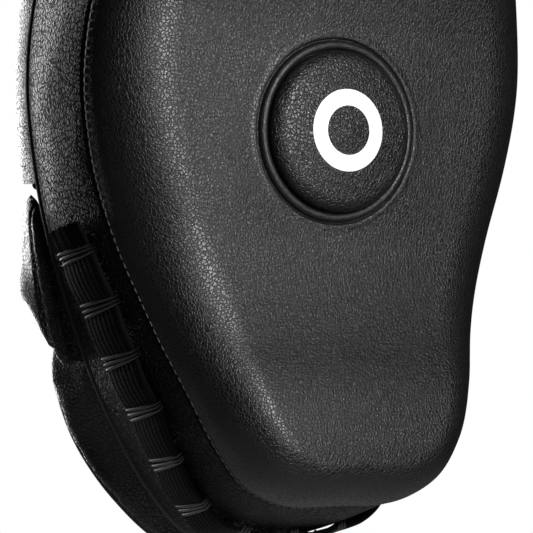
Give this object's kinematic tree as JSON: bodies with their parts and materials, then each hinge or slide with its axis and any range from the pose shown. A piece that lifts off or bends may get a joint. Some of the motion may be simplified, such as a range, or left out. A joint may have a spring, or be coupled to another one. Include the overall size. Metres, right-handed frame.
{
  "type": "focus mitt",
  "caption": "Curved leather boxing focus mitt with a round target, foam body, finger hood, padded wrist guards and a hook-and-loop wrist strap.",
  "frame": {"origin": "centre of the flat top of the round target", "axes": "-Y out of the striking face, +Z toward the fingertips, +X to the right of a person who faces the target"},
  "size_m": [0.1932, 0.1462, 0.289],
  "materials": {
    "leather_black": "pebbled, semi-gloss",
    "leather_target": "smooth pebble, semi-gloss",
    "leather_wall": "fine grain, satin",
    "leather_back": "fine grain, satin",
    "leather_hood": "pebbled, semi-gloss, padded",
    "piping_black": "smooth rolled edge",
    "webbing_black": "ribbed woven webbing",
    "thread_grey": "sewing thread",
    "lining_black": "brushed knit",
    "foam_grey": "open-cell foam",
    "foam_dense": "closed-cell foam",
    "board_black": "stiff sheet",
    "hook_black": "hook tape",
    "loop_black": "loop tape"
  },
  "bodies": {
    "mitt": {"back_board": "board_black", "bar_tack_01": "thread_grey", "bar_tack_02": "thread_grey", "bar_tack_03": "thread_grey", "bar_tack_04": "thread_grey", "bar_tack_05": "thread_grey", "bar_tack_06": "thread_grey", "bar_tack_07": "thread_grey", "bar_tack_08": "thread_grey", "bar_tack_09": "thread_grey", "bar_tack_10": "thread_grey", "bar_tack_11": "thread_grey", "bar_tack_12": "thread_grey", "bar_tack_13": "thread_grey", "bar_tack_14": "thread_grey", "bar_tack_15": "thread_grey", "core_foam": "foam_dense", "cuff_binding": "piping_black", "finger_hood": "leather_hood", "front_cover": "leather_black", "front_foam": "foam_grey", "hood_binding": "piping_black", "hood_lining": "lining_black", "loop_patch": "loop_black", "palm_foam": "foam_grey", "palm_grip": "leather_back", "rear_panel": "leather_back", "rear_piping": "piping_black", "side_wall": "leather_wall", "side_webbing": "webbing_black", "strap_anchor": "webbing_black", "target_cap": "leather_target", "target_foam": "foam_grey", "target_ring": "piping_black", "wing_left": "leather_hood", "wing_right": "leather_hood", "wrist_cuff": "leather_hood"},
    "strap": {"wrist_strap": "webbing_black"},
    "tab": {"hook_patch": "hook_black", "strap_tip": "webbing_black"}
  },
  "joints": [
    {"name": "strap_lift", "type": "hinge", "parent": "mitt", "child": "strap", "pos_m": [-0.0503, 0.1289, -0.043], "axis": [0, 0, 1], "range_deg": [0, 100]},
    {"name": "strap_peel", "type": "hinge", "parent": "strap", "child": "tab", "pos_m": [0.036, 0.1313, -0.043], "axis": [0, 0, 1], "range_deg": [0, 140]}
  ]
}
